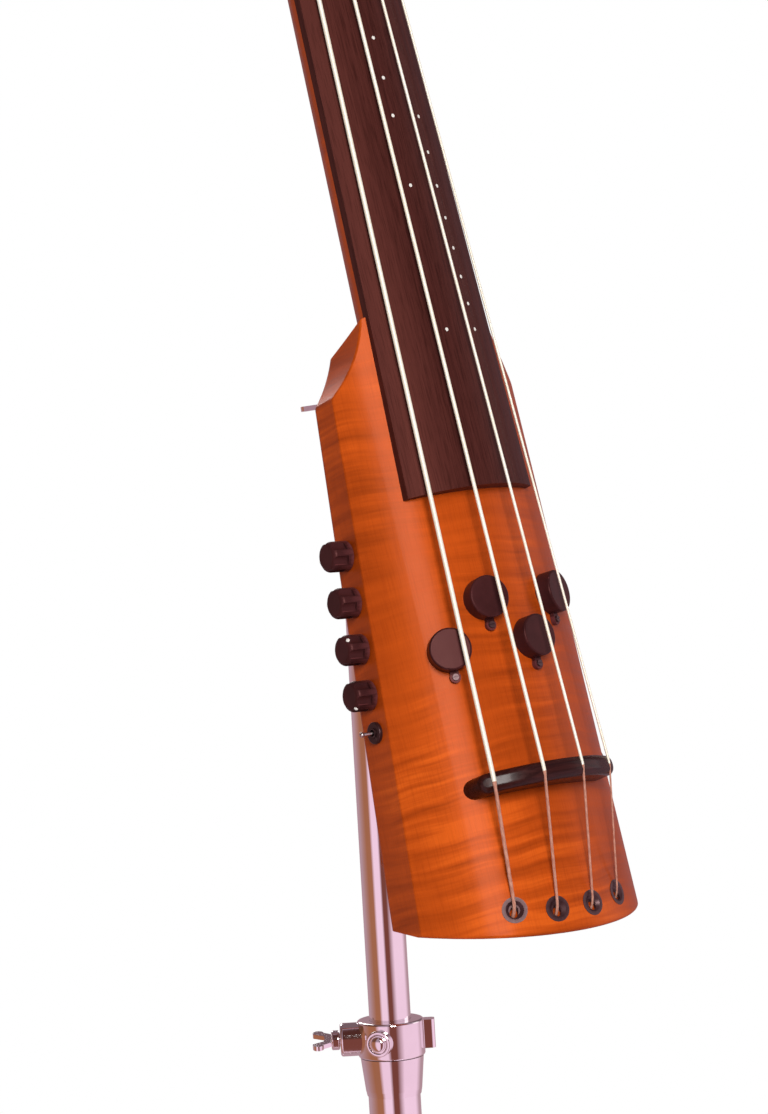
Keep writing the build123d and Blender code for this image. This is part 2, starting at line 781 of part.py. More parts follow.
def mount_back():
    """Location on the body's back, at the middle of the mount plate."""
    return back_place() * Pos(0, 0, PIVOT_Z - PLATE_DROP)


def mount_screw_places():
    spots = [(x, z) for x in (-21.0, 21.0) for z in (-14.0, 14.0)]
    return [mount_back() * Pos(x, 0, z) for x, z in spots]


def mount_screw():
    """A domed machine screw, head on the plate, pointing into the wood along -Y."""
    head = Cylinder(4.6, 3.0, align=CENTRED_UP)
    head = fillet(head.edges().filter_by(GeomType.CIRCLE).sort_by(Axis.Z)[-1], 2.0)
    socket = Pos(0, 0, 1.2) * extrude(RegularPolygon(1.9, 6), amount=4)
    shank = Pos(0, 0, -30) * Cylinder(2.5, 31, align=CENTRED_UP)
    return Pos(0, 5.0, 0) * Rot(X=-90) * (head + shank - socket)


def mount_plate():
    plate = Pos(0, 2.5, 0) * Box(58, 5.0, PLATE_TALL)
    plate = fillet(plate.edges().filter_by(Axis.Y), 8.0)
    plate = mount_back() * plate
    ear_x = EAR_INNER + EAR_THICK / 2
    ear = pivot_in_body() * Pos(ear_x, 0, 0) * cross_pin(EAR_ROUND, EAR_THICK / 2)
    web_back = BODY_BACK - BODY_BACK_SLOPE * PIVOT_Z + 4.0
    web_length = PIVOT_Y - web_back
    web = Box(EAR_THICK, web_length, 2 * EAR_ROUND, align=(Align.CENTER, Align.MIN, Align.CENTER))
    ear += Pos(ear_x, web_back, PIVOT_Z) * web
    boss = pivot_in_body() * Pos(EAR_INNER + EAR_THICK + 4, 0, 0) * cross_pin(8.5, 4)
    piece = plate + both_sides(ear) + boss
    piece -= pivot_in_body() * cross_pin(TILT_BOLT_RADIUS + RUN_CLEAR, 60)
    return piece - [place * mount_screw() for place in mount_screw_places()]


def wing(span, rise, thickness):
    """Two flared blades in the XZ plane, for a bolt that points down -Z."""
    half = span / 2
    lines = [
        Polyline((0, 0), (4.5, 0), (half - 2.5, rise * 0.55)),
        ThreePointArc((half - 2.5, rise * 0.55), (half, rise * 0.9), (half - 4.5, rise)),
        Polyline((half - 4.5, rise), (4.0, rise * 0.55), (0, rise * 0.5), (0, 0)),
    ]
    blade = extrude(Plane.XZ * make_face(lines), amount=thickness / 2, both=True)
    return both_sides(blade)


def wing_bolt(shank_radius, shank_length, hub_radius, hub_length, span):
    """A wing bolt along Z: the shank's tip is at -shank_length and the hub starts at zero."""
    shank = Cylinder(shank_radius, shank_length + 1, align=(Align.CENTER, Align.CENTER, Align.MAX))
    hub = Cylinder(hub_radius, hub_length, align=CENTRED_UP)
    hub = fillet(hub.edges().filter_by(GeomType.CIRCLE), 1.0)
    blades = Pos(0, 0, hub_length * 0.4) * wing(span, 14.0, WING_THICK)
    return Pos(0, 0, 1) * shank + hub + blades


def tilt_wing_bolt():
    """The bolt through both ears and the mast head, with its wings on the bass side."""
    reach = 2 * (EAR_INNER + EAR_THICK) + 7
    bolt = wing_bolt(TILT_BOLT_RADIUS, reach, 6.5, 6.0, 27.0)
    return pivot_in_body() * Pos(-EAR_INNER - EAR_THICK - 0.4, 0, 0) * Rot(Y=-90) * Rot(Z=80) * bolt


# ---- Stand ----
def mast_head():
    tongue = Pos(0, 0, PIVOT_HEIGHT) * cross_pin(EAR_ROUND - 0.5, EAR_INNER - 0.4)
    stem = Box(2 * (EAR_INNER - 0.4), 25, 30, align=(Align.CENTER, Align.CENTER, Align.MAX))
    socket = Pos(0, 0, MAST_TOP - 26) * Cylinder(MAST_RADIUS + 3.2, 33, align=CENTRED_UP)
    socket = fillet(socket.edges().filter_by(GeomType.CIRCLE), 2.0)
    piece = tongue + Pos(0, 0, PIVOT_HEIGHT) * stem + socket
    piece -= Pos(0, 0, MAST_TOP) * Cylinder(MAST_RADIUS, 60, align=(Align.CENTER, Align.CENTER, Align.MAX))
    return piece - Pos(0, 0, PIVOT_HEIGHT) * cross_pin(TILT_BOLT_RADIUS + RUN_CLEAR, 40)


def tube(radius, bottom, top):
    outside = Cylinder(radius, top - bottom, align=CENTRED_UP)
    inside = Pos(0, 0, -1) * Cylinder(radius - TUBE_WALL, top - bottom + 2, align=CENTRED_UP)
    return Pos(0, 0, bottom) * (outside - inside)


def clamp_frame():
    return Pos(0, 0, CLAMP_BOTTOM) * Rot(Z=CLAMP_TURN)


def outward(angle, height):
    """Location on the Z axis whose own Z points outwards at an angle."""
    return Rot(Z=angle) * Pos(0, 0, height) * Rot(Y=90)


def height_clamp():
    ring = Cylinder(CLAMP_RADIUS, CLAMP_HEIGHT, align=CENTRED_UP)
    ring = fillet(ring.edges().filter_by(GeomType.CIRCLE), 1.4)
    mid = CLAMP_HEIGHT / 2
    boss = outward(180, mid) * Cylinder(10.2, 31.0, align=CENTRED_UP)
    boss = fillet(boss.edges().filter_by(GeomType.CIRCLE), 1.6)
    stop_boss = outward(STOP_BOLT_ANGLE, mid) * Cylinder(8.0, 24.0, align=CENTRED_UP)
    stop_boss = fillet(stop_boss.edges().filter_by(GeomType.CIRCLE), 1.0)
    knuckle = Pos(CLAMP_RADIUS + 2.0, 0, 4.0) * Box(9.0, 9.0, CLAMP_HEIGHT - 5.0, align=CENTRED_UP)
    knuckle = fillet(knuckle.edges().filter_by(Axis.Z), 2.5)
    piece = ring + boss + stop_boss + knuckle
    piece -= Cylinder(MAST_RADIUS + 0.08, 100)
    piece -= outward(180, mid) * Cylinder(TILT_BOLT_RADIUS + RUN_CLEAR, 60, align=CENTRED_UP)
    piece -= outward(STOP_BOLT_ANGLE, mid) * Cylinder(4.2, 60, align=CENTRED_UP)
    piece -= outward(STOP_BOLT_ANGLE, mid) * Pos(0, 0, 21.5) * Cylinder(6.2, 10, align=CENTRED_UP)
    return clamp_frame() * piece


def clamp_wing_screw():
    bolt = wing_bolt(TILT_BOLT_RADIUS, 17.0, 6.0, 5.0, 24.0)
    return clamp_frame() * outward(180, CLAMP_HEIGHT / 2) * Pos(0, 0, 31.4) * Rot(Z=78) * bolt


def clamp_stop_bolt():
    head = Cylinder(6.1, 2.6, align=CENTRED_UP)
    head = fillet(head.edges().filter_by(GeomType.CIRCLE).sort_by(Axis.Z)[-1], 1.2)
    shank = Cylinder(4.2, 7.0, align=(Align.CENTER, Align.CENTER, Align.MAX))
    key = Pos(0, 0, 1.2) * Box(3.4, 3.4, 5, align=CENTRED_UP)
    bolt = head + shank - key
    return clamp_frame() * outward(STOP_BOLT_ANGLE, CLAMP_HEIGHT / 2) * Pos(0, 0, 21.5) * bolt


def tube_sleeve():
    """The tapered sleeve on the lower tube's mouth, with the guide that the mast slides in."""
    top = CLAMP_BOTTOM - 0.3
    guide_outer = LOWER_RADIUS - TUBE_WALL
    inner = MAST_RADIUS + 0.1
    profile = [
        (inner, top),
        (19.3, top),
        (17.2, top - 20.0),
        (16.5, top - 23.5),
        (LOWER_RADIUS, top - 23.5),
        (LOWER_RADIUS, LOWER_TOP),
        (guide_outer, LOWER_TOP),
        (guide_outer, LOWER_TOP - 60),
        (inner, LOWER_TOP - 60),
    ]
    return revolve(Plane.XZ * make_face(Polyline(*profile, close=True)), axis=Axis.Z)


def lug(reach, half_width, height):
    """A rounded lug in the XZ plane from the tube to a pivot."""
    bar = Box(reach, 2 * half_width, height, align=(Align.MIN, Align.CENTER, Align.CENTER))
    return bar + Pos(reach, 0, 0) * side_pin(height / 2, half_width)


def tripod_collar():
    ring = Pos(0, 0, -18) * Cylinder(23.0, 42.0, align=CENTRED_UP)
    ring = fillet(ring.edges().filter_by(GeomType.CIRCLE), 1.5)
    piece = ring
    for azimuth in LEG_AZIMUTHS:
        ears = lug(LEG_PIVOT_RADIUS, 8.8, 18.0)
        slot = Pos(24.5, 0, 0) * Box(40, 8.6, 60, align=(Align.MIN, Align.CENTER, Align.CENTER))
        hole = Pos(LEG_PIVOT_RADIUS, 0, 0) * side_pin(PIN_RADIUS + RUN_CLEAR, 20)
        piece += Rot(Z=azimuth) * (ears - slot - hole)
    piece += outward(270, 6.0) * Cylinder(8.5, 32.0, align=CENTRED_UP)
    piece -= outward(270, 6.0) * Cylinder(TILT_BOLT_RADIUS + RUN_CLEAR, 60, align=CENTRED_UP)
    piece -= Cylinder(LOWER_RADIUS + 0.1, 200)
    return Pos(0, 0, COLLAR_Z) * piece


def collar_wing_bolt():
    bolt = wing_bolt(TILT_BOLT_RADIUS, 16.0, 7.0, 6.0, 34.0)
    return Pos(0, 0, COLLAR_Z) * outward(270, 6.0) * Pos(0, 0, 32.4) * Rot(Z=25) * bolt


def leg_hub():
    ring = Pos(0, 0, -20) * Cylinder(21.0, 34.0, align=CENTRED_UP)
    ring = fillet(ring.edges().filter_by(GeomType.CIRCLE), 1.5)
    piece = ring
    for azimuth in LEG_AZIMUTHS:
        hole = Pos(LEG_PIVOT_RADIUS, 0, 0) * side_pin(PIN_RADIUS + RUN_CLEAR, 20)
        piece += Rot(Z=azimuth) * (lug(LEG_PIVOT_RADIUS, 11.0, 17.0) - hole)
    bore = Pos(0, 0, LOWER_BOTTOM - HUB_Z) * Cylinder(LOWER_RADIUS, 100, align=CENTRED_UP)
    return Pos(0, 0, HUB_Z) * (piece - bore)


def leg_place(azimuth):
    return Rot(Z=azimuth) * Pos(LEG_PIVOT_RADIUS, 0, COLLAR_Z) * Rot(Y=-LEG_ANGLE)


def leg(azimuth):
    """A tube leg with a flattened top eye, its pivot pin and the rivet that meets the brace."""
    eye = side_pin(9.0, 4.0) + Pos(0, 0, -13) * Box(18.0, 8.0, 26.0)
    top = Pos(0, 0, -24) * Cylinder(LEG_RADIUS, LEG_LENGTH - 30, align=(Align.CENTER, Align.CENTER, Align.MAX))
    hollow = Pos(0, 0, -34) * Cylinder(
        LEG_RADIUS - TUBE_WALL, LEG_LENGTH, align=(Align.CENTER, Align.CENTER, Align.MAX)
    )
    rivet = Pos(0, 0, -BRACE_LENGTH) * side_pin(2.5, LEG_RADIUS + 1.2)
    pin = side_pin(PIN_RADIUS, 10.6)
    return leg_place(azimuth) * (eye + (top - hollow) + rivet + pin)


def foot(azimuth):
    """A rubber boot with a flat sole."""
    boot = Cylinder(FOOT_RADIUS - 0.5, 34, align=CENTRED_UP)
    boot = fillet(boot.edges().filter_by(GeomType.CIRCLE).sort_by(Axis.Z)[-1], 1.5)
    tip = Sphere(FOOT_RADIUS)
    tube_end = Pos(0, 0, 6) * Cylinder(LEG_RADIUS, 60, align=CENTRED_UP)
    shape = leg_place(azimuth) * Pos(0, 0, -LEG_LENGTH) * (boot + tip - tube_end)
    floor = Box(2000, 2000, 100, align=(Align.CENTER, Align.CENTER, Align.MAX))
    return shape - floor


def brace(azimuth):
    """Two straps on one hub pin; their upper ends lie beside the leg's rivet."""
    strap = SlotCenterToCenter(BRACE_LENGTH, 13.0, rotation=90)
    strap = Pos(0, 11.5, BRACE_LENGTH / 2) * Rot(X=90) * extrude(strap, amount=-2.5)
    cap = Pos(0, 14.0, BRACE_LENGTH) * Rot(X=-90) * Cylinder(4.2, 1.8, align=CENTRED_UP)
    cap = fillet(cap.edges().filter_by(GeomType.CIRCLE).sort_by(Axis.Y)[-1], 1.0)
    side = strap + cap
    straps = side + mirror(side, about=Plane.XZ)
    pin = side_pin(PIN_RADIUS, 15.5)
    place = Rot(Z=azimuth) * Pos(LEG_PIVOT_RADIUS, 0, HUB_Z) * Rot(Y=LEG_ANGLE)
    return place * (straps + pin)


# ---- Assembly ----
def instrument_pieces():
    strings = {name: string(name) for name in STRINGS}
    blank_dots = position_dots()
    pieces = {
        "body": body(),
        "neck": neck(),
        "fingerboard": board_blank() - blank_dots,
        "position_dots": [d & board_blank() for d in blank_dots],
        "nut": nut() - list(strings.values()),
        "truss_rod": truss_rod(),
        "string_ferrules": ferrules(),
        "bridge": bridge() - list(strings.values()),
        "tuner_housings": tuner_housings(),
        "control_pots": control_pots(),
        "toggle_switch": flank_plane(-1, SWITCH_Z) * toggle_switch(),
        "toggle_lever": flank_plane(-1, SWITCH_Z) * Rot(X=-12) * toggle_lever(),
        "output_jack": flank_plane(1, JACK_Z) * output_jack(),
        "rear_cover": cover_plate(),
        "preamp_board": preamp_board(),
        "battery": battery(),
        "wood_screws": pickup_screws() + cover_screws() + [head_place() * s for s in tuner_screws()],
        "mount_plate": mount_plate(),
        "mount_screws": [place * mount_screw() for place in mount_screw_places()],
        "tilt_wing_bolt": tilt_wing_bolt(),
    }
    for name in STRINGS:
        pieces["string_" + name] = strings[name]
        pieces["pickup_" + name] = pickup(name)
        pieces["tuner_post_" + name] = tuner_post(name)
        pieces["tuner_key_" + name] = tuner_key(name)
    for name, z in zip(KNOB_NAMES, KNOB_HEIGHTS):
        pieces[name] = [flank_plane(-1, z) * solid for solid in knob()]
    return pieces


def stand_pieces():
    pieces = {
        "mast_head": mast_head(),
        "mast_tube": tube(MAST_RADIUS, MAST_BOTTOM, MAST_TOP),
        "height_clamp": height_clamp(),
        "clamp_wing_screw": clamp_wing_screw(),
        "clamp_stop_bolt": clamp_stop_bolt(),
        "tube_sleeve": tube_sleeve(),
        "lower_tube": tube(LOWER_RADIUS, LOWER_BOTTOM, LOWER_TOP),
        "tripod_collar": tripod_collar(),
        "collar_wing_bolt": collar_wing_bolt(),
        "leg_hub": leg_hub(),
    }
    for index, azimuth in enumerate(LEG_AZIMUTHS, start=1):
        pieces[f"leg_{index}"] = leg(azimuth)
        pieces[f"brace_{index}"] = brace(azimuth)
        pieces[f"foot_{index}"] = foot(azimuth)
    return pieces


def instrument_place():
    return Pos(0, 0, PIVOT_HEIGHT) * Rot(X=-LEAN) * Pos(0, -PIVOT_Y, -PIVOT_Z)


def solids_of(piece):
    items = piece if isinstance(piece, (list, tuple)) else [piece]
    return [solid for item in items for solid in item.solids()]


def centring(nodes):
    """The move that centres the whole object's box over the origin, standing on Z = 0."""
    boxes = [solid.bounding_box() for solids in nodes.values() for solid in solids]
    middle_x = (min(box.min.X for box in boxes) + max(box.max.X for box in boxes)) / 2
    middle_y = (min(box.min.Y for box in boxes) + max(box.max.Y for box in boxes)) / 2
    return Pos(-middle_x, -middle_y, 0)


def layout():
    """Every node's solids in the object's own frame, and the move that brought them there."""
    nodes = {}
    for name, piece in instrument_pieces().items():
        nodes[name] = [instrument_place() * solid for solid in solids_of(piece)]
    for name, piece in stand_pieces().items():
        nodes[name] = solids_of(piece)
    shift = centring(nodes)
    return {name: [shift * solid for solid in solids] for name, solids in nodes.items()}, shift


if __name__ == "__main__":
    all_nodes, move = layout()
    print("centring shift", move.position)
    for node, solids in all_nodes.items():
        export_step(Compound(children=solids), f"parts/{node}.step")
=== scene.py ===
import json
from math import cos, pi, radians, sin, sqrt

import bmesh
import bpy
from mathutils import Matrix, Vector


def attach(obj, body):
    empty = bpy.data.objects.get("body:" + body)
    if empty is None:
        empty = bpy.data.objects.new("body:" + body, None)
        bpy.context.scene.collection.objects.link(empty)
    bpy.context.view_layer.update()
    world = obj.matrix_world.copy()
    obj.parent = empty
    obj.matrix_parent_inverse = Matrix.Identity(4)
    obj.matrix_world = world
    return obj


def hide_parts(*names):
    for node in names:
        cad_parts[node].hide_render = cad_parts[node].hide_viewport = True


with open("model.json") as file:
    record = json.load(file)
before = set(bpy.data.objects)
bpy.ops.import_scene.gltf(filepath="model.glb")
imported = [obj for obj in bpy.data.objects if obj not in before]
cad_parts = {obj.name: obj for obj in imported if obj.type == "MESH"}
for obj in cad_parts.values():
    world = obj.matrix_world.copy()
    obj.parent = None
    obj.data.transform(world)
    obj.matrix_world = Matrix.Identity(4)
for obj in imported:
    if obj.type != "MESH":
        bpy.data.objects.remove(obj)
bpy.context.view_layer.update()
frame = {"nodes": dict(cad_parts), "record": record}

joints = {joint["name"]: joint for joint in frame["record"]["behaviour"]["joints"]}

# ---- The instrument's own frame, in metres: X treble, Y back, Z up the strings ----
LEAN = radians(18.1)
PIVOT_IN_BODY = Vector((0.0, 0.11094, 0.256))
SCALE_LENGTH = 1.067
NUT_THICK = 0.005

# ---- Strings, in the same frame ----
STRINGS = ("e", "a", "d", "g")
STRING_STEPS = {"e": -1.5, "a": -0.5, "d": 0.5, "g": 1.5}
STRING_RADII = {"e": 0.00140, "a": 0.00115, "d": 0.00092, "g": 0.00075}
BRIDGE_SPACING = 0.0281
BRIDGE_ARC = 0.0764
NUT_SPACING = 0.0102
NUT_ARC = 0.070
TAIL_SPACING = 0.0258
TAIL_DROP = 0.077
TAIL_RISE = 0.0021
TAIL_INTO_BODY = Vector((0, sin(radians(45.0)), -cos(radians(45.0))))
TAIL_HIDDEN = 0.008
TAIL_PROUD = 0.0005
BODY_ARC = 0.092
BODY_CROWN = 0.0189
BODY_CROWN_SLOPE = 0.021
SILK_SHARE = 0.72
SILK_TAPER = 0.004
HEAD_SHARE = 0.85
WINDING_FROM = -0.0005
WINDING_TO = SCALE_LENGTH + 0.012
CORNER_REACH = 0.004
CORNER_STEPS = 6
POINT_SPACING = 0.030
WIRE_SIDES = 20

# ---- Tuners ----
POST_RADIUS = 0.0049
POST_GAP = 0.0001
POST_TURNS = 3.0
TURN_PITCH = 2.05
TURN_SIDES = 12
STRING_ABOVE_BACK = 0.026
WHEEL_BEHIND = 0.0052
WHEEL_RADIUS = 0.0072
WHEEL_TOOTH = 0.0004
WHEEL_RIM = 0.0012
WHEEL_HALF_THICK = 0.00125
WHEEL_TEETH = 20
WORM_RADIUS = 0.00325
WORM_WIRE = 0.00035
WORM_HALF = 0.0061
WORM_TURNS = 6
WORM_SIDES = 8

# ---- Knobs ----
KNOB_TALL = 0.0145
KNOB_DOT_RADIUS = 0.0012
KNOB_DOT_OUT = 0.0080
KNOB_DOT_DOWN = 0.0011
KNOB_DOT_TILT = radians(45.0)
KNOB_DOT_SUNK = 0.0004
KNOB_DOT_SIDES = 24
KNOB_DOT_PROFILE = ((0, 0), (1, 0), (1, 0.0004), (0.8, 0.0007), (0.4, 0.0008), (0, 0.00082))
KNOB_DOT_TURNS = {"volume_knob": 95.0, "blend_knob": 80.0, "bass_knob": -55.0, "treble_knob": -162.0}

# ---- Stand ----
LEG_ANGLE = radians(50.0)
LEG_LENGTH = 0.430
FOOT_RADIUS = 0.0125
FOOT_RIBS = (0.010, 0.016, 0.022, 0.028)
FOOT_RIB_RADIUS = 0.0009
FOOT_RIB_SIDES = 8
FOOT_RIB_STEPS = 40
STOP_BOLT_TURN = radians(214.2)
STOP_BOLT_RISE = 0.01125
STOP_CAP_PROFILE = (
    (0, 0.0236),
    (0.0045, 0.0236),
    (0.0047, 0.0242),
    (0.0043, 0.0249),
    (0.0034, 0.0255),
    (0.0023, 0.0259),
    (0.0011, 0.0261),
    (0, 0.02615),
)

pivot = Vector(joints["lean"]["pos_m"])
INSTRUMENT = Matrix.Translation(pivot) @ Matrix.Rotation(-LEAN, 4, "X") @ Matrix.Translation(-PIVOT_IN_BODY)
TO_INSTRUMENT = INSTRUMENT.inverted()


# ---- Building materials ----
MIX_SHARE, MIX_FIRST, MIX_SECOND, MIX_RESULT = 0, 6, 7, 2
EDGE_BLUR = 0.05


def fill_ramp(ramp, stops):
    elements = ramp.color_ramp.elements
    while len(elements) < len(stops):
        elements.new(0.5)
    for element, (where, colour) in zip(elements, stops):
        element.position = where
        element.color = (*colour, 1.0)


class Finish:
    """A node material in the making, with textures in the object's or the instrument's frame."""

    def __init__(self, name, settings):
        self.material = bpy.data.materials.new(name)
        self.material.use_nodes = True
        self.tree = self.material.node_tree
        self.shader = self.tree.nodes["Principled BSDF"]
        for label, value in settings.items():
            self.shader.inputs[label].default_value = value

    def node(self, kind, settings=None, inputs=None):
        made = self.tree.nodes.new(kind)
        for label, value in (settings or {}).items():
            setattr(made, label, value)
        for label, value in (inputs or {}).items():
            if isinstance(value, bpy.types.NodeSocket):
                self.tree.links.new(value, made.inputs[label])
            else:
                made.inputs[label].default_value = value
        return made

    def place(self, scale=(1, 1, 1), on_instrument=True):
        spot = self.node("ShaderNodeTexCoord").outputs["Object"]
        if on_instrument:
            turned = {
                "Vector": spot,
                "Location": TO_INSTRUMENT.translation,
                "Rotation": (LEAN, 0, 0),
            }
            spot = self.node("ShaderNodeMapping", None, turned).outputs["Vector"]
        return self.node("ShaderNodeMapping", None, {"Vector": spot, "Scale": scale}).outputs["Vector"]

    def noise(self, spot, detail=4.0, rough=0.55, distortion=0.0):
        inputs = {
            "Vector": spot,
            "Scale": 1.0,
            "Detail": detail,
            "Roughness": rough,
            "Distortion": distortion,
        }
        return self.node("ShaderNodeTexNoise", None, inputs).outputs["Fac"]

    def wave(self, spot, scale, direction="Z", distortion=0.0):
        settings = {"wave_type": "BANDS", "bands_direction": direction}
        inputs = {"Vector": spot, "Scale": scale, "Distortion": distortion, "Detail": 0.0}
        return self.node("ShaderNodeTexWave", settings, inputs).outputs["Fac"]

    def math(self, operation, first, second):
        made = self.node("ShaderNodeMath", {"operation": operation})
        for index, value in enumerate((first, second)):
            if isinstance(value, bpy.types.NodeSocket):
                self.tree.links.new(value, made.inputs[index])
            else:
                made.inputs[index].default_value = value
        return made.outputs[0]

    def between(self, value, low, high, to_low=0.0, to_high=1.0):
        inputs = {"Value": value, "From Min": low, "From Max": high, "To Min": to_low, "To Max": to_high}
        return self.node("ShaderNodeMapRange", None, inputs).outputs["Result"]

    def ramp(self, value, stops):
        made = self.node("ShaderNodeValToRGB", None, {"Fac": value})
        fill_ramp(made, stops)
        return made.outputs["Color"]

    def mix(self, share, first, second, blend="MIX"):
        made = self.node("ShaderNodeMix", {"data_type": "RGBA", "blend_type": blend})
        for index, value in ((MIX_SHARE, share), (MIX_FIRST, first), (MIX_SECOND, second)):
            if isinstance(value, bpy.types.NodeSocket):
                self.tree.links.new(value, made.inputs[index])
            else:
                made.inputs[index].default_value = value if index == MIX_SHARE else (*value, 1.0)
        return made.outputs[MIX_RESULT]

    def edge_wear(self, sharp):
        pointy = self.node("ShaderNodeNewGeometry").outputs["Pointiness"]
        return self.between(pointy, sharp, sharp + EDGE_BLUR)

    def colour(self, output):
        self.tree.links.new(output, self.shader.inputs["Base Color"])

    def roughness(self, value, low, high):
        self.tree.links.new(self.between(value, 0.3, 0.7, low, high), self.shader.inputs["Roughness"])

    def bump(self, height, distance):
        inputs = {"Height": height, "Distance": distance, "Strength": 1.0}
        made = self.node("ShaderNodeBump", None, inputs)
        self.tree.links.new(made.outputs["Normal"], self.shader.inputs["Normal"])


# ---- The materials, whose noise scales are in cells to the metre ----
def flamed_maple(name, flame_strength):
    """Amber lacquer over maple whose flame runs across the width, with fine pores along the length."""
    settings = {
        "Coat Weight": 0.05,
        "Coat Roughness": 0.2,
        "Specular IOR Level": 0.42,
        "Specular Tint": (1.0, 0.20, 0.04, 1.0),
    }
    finish = Finish(name, settings)
    bend = finish.noise(finish.place((11, 11, 5)), 2.0)
    drift = finish.node("ShaderNodeCombineXYZ", None, {"Z": finish.math("MULTIPLY", bend, 3.2)}).outputs[0]
    shifted = finish.node("ShaderNodeVectorMath", {"operation": "ADD"})
    finish.tree.links.new(finish.place((8, 12, 170)), shifted.inputs[0])
    finish.tree.links.new(drift, shifted.inputs[1])
    flame = finish.noise(shifted.outputs[0], 3.0, 0.55, 0.15)
    patches = finish.between(finish.noise(finish.place((14, 14, 9)), 2.0), 0.40, 0.62)
    mottle = finish.noise(finish.place((13, 13, 6)), 3.0)
    pores = finish.noise(finish.place((1400, 1400, 45)), 2.0, 0.6)
    figure = finish.math("MULTIPLY", finish.between(flame, 0.30, 0.70, -0.5, 0.5), flame_strength)
    figure = finish.math("MULTIPLY", figure, finish.math("ADD", patches, 0.35))
    shade = finish.math("ADD", figure, finish.between(mottle, 0.25, 0.75, 0.25, 0.85))
    stops = [
        (0.0, (0.28, 0.038, 0.0035)),
        (0.4, (0.42, 0.059, 0.0050)),
        (0.7, (0.53, 0.077, 0.0066)),
        (1.0, (0.66, 0.105, 0.0095)),
    ]
    base = finish.ramp(shade, stops)
    dark = finish.ramp(pores, [(0.36, (0.80, 0.74, 0.70)), (0.52, (1.0, 1.0, 1.0))])
    finish.colour(finish.mix(0.45, base, dark, "MULTIPLY"))
    finish.roughness(flame, 0.34, 0.46)
    finish.bump(pores, 0.00002)
    return finish.material


def ebony():
    finish = Finish("ebony", {"Specular Tint": (1.0, 0.30, 0.24, 1.0), "Specular IOR Level": 0.2})
    streaks = finish.noise(finish.place((420, 420, 7)), 4.0, 0.65)
    pores = finish.noise(finish.place((1500, 1500, 60)), 2.0)
    mottle = finish.noise(finish.place((30, 30, 5)), 2.0)
    streaked = finish.math("MULTIPLY", streaks, 0.75)
    mottled = finish.math("MULTIPLY", mottle, 0.25)
    stops = [
        (0.30, (0.042, 0.0105, 0.0085)),
        (0.55, (0.064, 0.0165, 0.0135)),
        (0.80, (0.092, 0.026, 0.021)),
    ]
    base = finish.ramp(finish.math("ADD", streaked, mottled), stops)
    dark = finish.ramp(pores, [(0.36, (0.45, 0.42, 0.4)), (0.50, (1.0, 1.0, 1.0))])
    finish.colour(finish.mix(0.7, base, dark, "MULTIPLY"))
    finish.roughness(streaks, 0.38, 0.52)
    finish.bump(pores, 0.00004)
    return finish.material


def bridge_wood():
    finish = Finish("bridge_wood", {"Coat Weight": 0.12, "Coat Roughness": 0.1, "Specular IOR Level": 0.15})
    streaks = finish.noise(finish.place((9, 500, 500)), 4.0, 0.6)
    finish.colour(finish.ramp(streaks, [(0.35, (0.018, 0.0036, 0.0030)), (0.7, (0.042, 0.0078, 0.0062))]))
    finish.roughness(streaks, 0.22, 0.34)
    finish.bump(streaks, 0.00003)
    return finish.material


def moulded_plastic(name, dark, light, low, high, grain):
    settings = {
        "Specular IOR Level": 0.2,
        "Specular Tint": (1.0, 0.36, 0.33, 1.0),
        "Coat Weight": 0.02,
        "Coat Roughness": 0.2,
    }
    finish = Finish(name, settings)
    cloud = finish.noise(finish.place((60, 60, 60)), 4.0)
    specks = finish.noise(finish.place((2200, 2200, 2200)), 2.0)
    base = finish.ramp(cloud, [(0.3, dark), (0.7, light)])
    worn = finish.math("MULTIPLY", finish.edge_wear(0.56), 0.5)
    finish.colour(finish.mix(worn, base, tuple(3.0 * part for part in light)))
    finish.roughness(cloud, low, high)
    finish.bump(specks, grain)
    return finish.material


def plated_metal(name, dark, light, low, high, metallic=1.0):
    finish = Finish(name, {"Metallic": metallic, "IOR": 1.5})
    cloud = finish.noise(finish.place((35, 35, 35), False), 4.0, 0.6)
    smear = finish.noise(finish.place((600, 600, 70), False), 3.0, 0.6)
    base = finish.ramp(cloud, [(0.3, dark), (0.7, light)])
    worn = finish.math("MULTIPLY", finish.edge_wear(0.57), 0.4)
    finish.colour(finish.mix(worn, base, tuple(min(1.0, 1.15 * part + 0.05) for part in light)))
    finish.roughness(finish.math("MULTIPLY", finish.math("ADD", cloud, smear), 0.5), low, high)
    finish.bump(smear, 0.000006)
    return finish.material


def flat_wound_steel():
    """Polished ribbon wound round the core: the turns show as fine bands along the string, with painted shade
    darkening the grooves between them.
    """
    settings = {"Metallic": 0.12, "IOR": 1.6, "Coat Weight": 0.3, "Coat Roughness": 0.15}
    finish = Finish("flat_wound_steel", settings)
    turns = finish.wave(finish.place((1, 1, 1)), 430.0)
    tarnish = finish.noise(finish.place((220, 220, 16)), 3.0)
    base = finish.ramp(tarnish, [(0.3, (0.96, 0.88, 0.70)), (0.7, (1.0, 0.98, 0.88))])
    # painted shade: the base colour is darkened in the grooves between the ribbon's turns
    groove_painted_shade = finish.ramp(turns, [(0.0, (0.80, 0.74, 0.66)), (0.18, (1.0, 1.0, 1.0))])
    finish.colour(finish.mix(0.6, base, groove_painted_shade, "MULTIPLY"))
    finish.roughness(tarnish, 0.24, 0.38)
    finish.bump(turns, 0.00005)
    return finish.material


